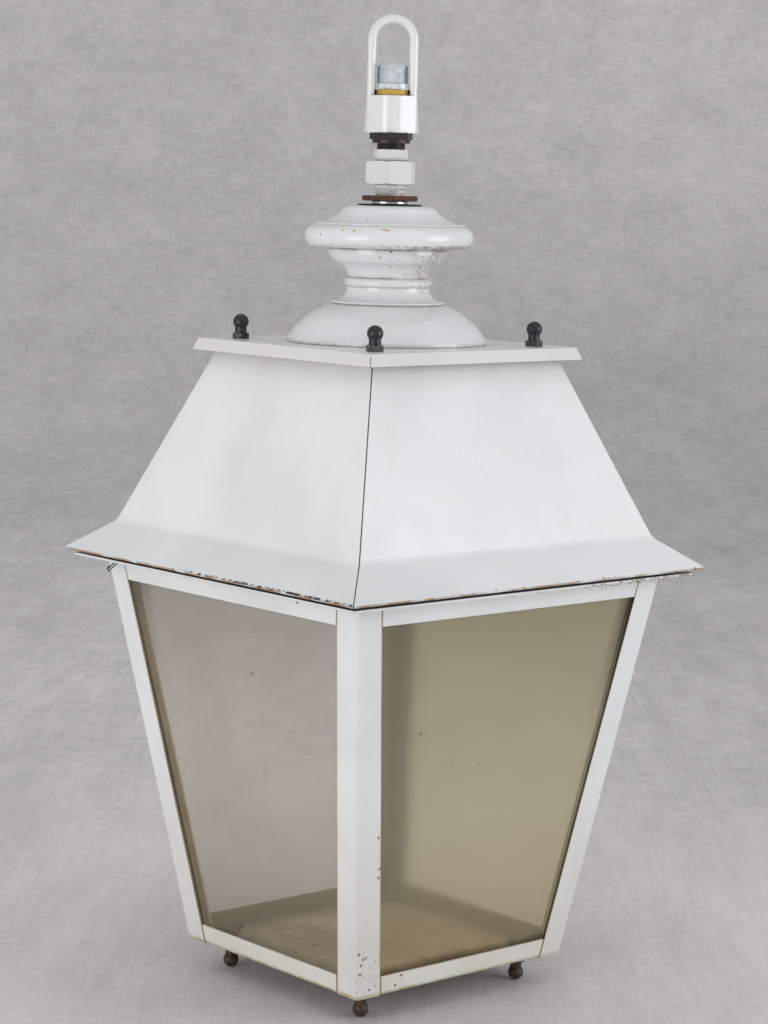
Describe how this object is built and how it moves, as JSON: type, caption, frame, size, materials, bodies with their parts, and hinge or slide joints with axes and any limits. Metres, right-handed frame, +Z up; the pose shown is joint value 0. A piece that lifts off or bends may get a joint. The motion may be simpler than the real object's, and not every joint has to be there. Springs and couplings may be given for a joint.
{
  "type": "street lantern",
  "caption": "Tapered four-sided glazed street lantern of white-painted sheet, with a hinged bell-shaped roof, a turned cap and a pipe stack that ends in a stirrup.",
  "frame": {"origin": "centre of the footprint, on the surface that the ball feet stand on", "axes": "+Z up along the stem; the four sides of the lantern face -Y (front), +X (right), +Y (back) and -X (left); the roof hinges along the right side"},
  "size_m": [0.42, 0.42, 0.8885],
  "materials": {
    "white_sheet_paint": "satin, worn at the edges",
    "cream_sheet_paint": "satin, yellowed",
    "white_cast_paint": "semi-gloss over a casting",
    "white_pipe_paint": "semi-gloss, brushed on",
    "white_gloss_paint": "high gloss",
    "galvanised_sheet": "dull zinc",
    "zinc_steel": "dull zinc",
    "dark_wire": "oxidised",
    "clear_pane": "clear, slightly smoked",
    "yellowed_pane": "yellowed and hazed",
    "dusty_pane": "brown with dust",
    "rusty_plate": "rusty",
    "rusty_iron": "dark brown, rusty",
    "black_iron": "black, slightly polished",
    "rusted_steel": "bare and rusted",
    "brown_iron": "dark brown",
    "bright_ring": "polished",
    "black_rubber": "matte",
    "brass": "satin",
    "zinc_alloy": "satin",
    "porcelain": "glazed"
  },
  "bodies": {
    "cage": {"corner_post_front_left": "white_sheet_paint", "corner_post_front_right": "white_sheet_paint", "corner_post_back_right": "white_sheet_paint", "corner_post_back_left": "white_sheet_paint", "top_rail_front": "white_sheet_paint", "bottom_rail_front": "cream_sheet_paint", "side_pane_front": "yellowed_pane", "top_rail_right": "white_sheet_paint", "bottom_rail_right": "cream_sheet_paint", "side_pane_right": "clear_pane", "top_rail_back": "white_sheet_paint", "bottom_rail_back": "cream_sheet_paint", "side_pane_back": "clear_pane", "top_rail_left": "white_sheet_paint", "bottom_rail_left": "cream_sheet_paint", "side_pane_left": "clear_pane", "bottom_pane": "dusty_pane", "glazing_strips": "cream_sheet_paint", "corner_plates": "rusty_plate", "top_flange": "white_sheet_paint", "ball_feet": "rusty_iron", "foot_studs": "zinc_steel", "foot_nuts": "rusty_iron", "hinge_lower_leaves": "zinc_steel", "hinge_pins": "zinc_steel", "tie_wire": "dark_wire"},
    "roof": {"hip_strip_front_left": "galvanised_sheet", "hip_strip_front_right": "galvanised_sheet", "hip_strip_back_right": "galvanised_sheet", "hip_strip_back_left": "galvanised_sheet", "roof_panel_front": "white_sheet_paint", "roof_panel_right": "white_sheet_paint", "roof_panel_back": "white_sheet_paint", "roof_panel_left": "white_sheet_paint", "roof_frame": "galvanised_sheet", "hinge_upper_leaves": "zinc_steel", "crown_plate": "galvanised_sheet", "cover_plate": "white_sheet_paint", "cover_studs": "zinc_steel", "cover_ball_nuts": "black_iron", "cap": "white_cast_paint", "cap_washer": "black_rubber", "cap_ring": "bright_ring", "lock_nut": "rusted_steel", "stem_pipe": "white_pipe_paint", "stem_washer": "zinc_steel", "stem_nut": "zinc_steel", "union_tail": "white_pipe_paint", "union_nut": "white_pipe_paint", "union_body": "white_pipe_paint", "bush": "brown_iron", "stirrup": "white_gloss_paint", "brass_nut": "brass", "gland_body": "zinc_alloy", "gland_seal": "black_rubber", "gland_nut": "zinc_alloy", "holder_reducer": "brass", "lampholder": "porcelain", "lampholder_sleeve": "brass"}
  },
  "joints": [
    {"name": "roof_hinge", "type": "hinge", "parent": "cage", "child": "roof", "pos_m": [0.206, 0, 0.392], "axis": [0, 1, 0], "range_deg": [0, 95]}
  ]
}
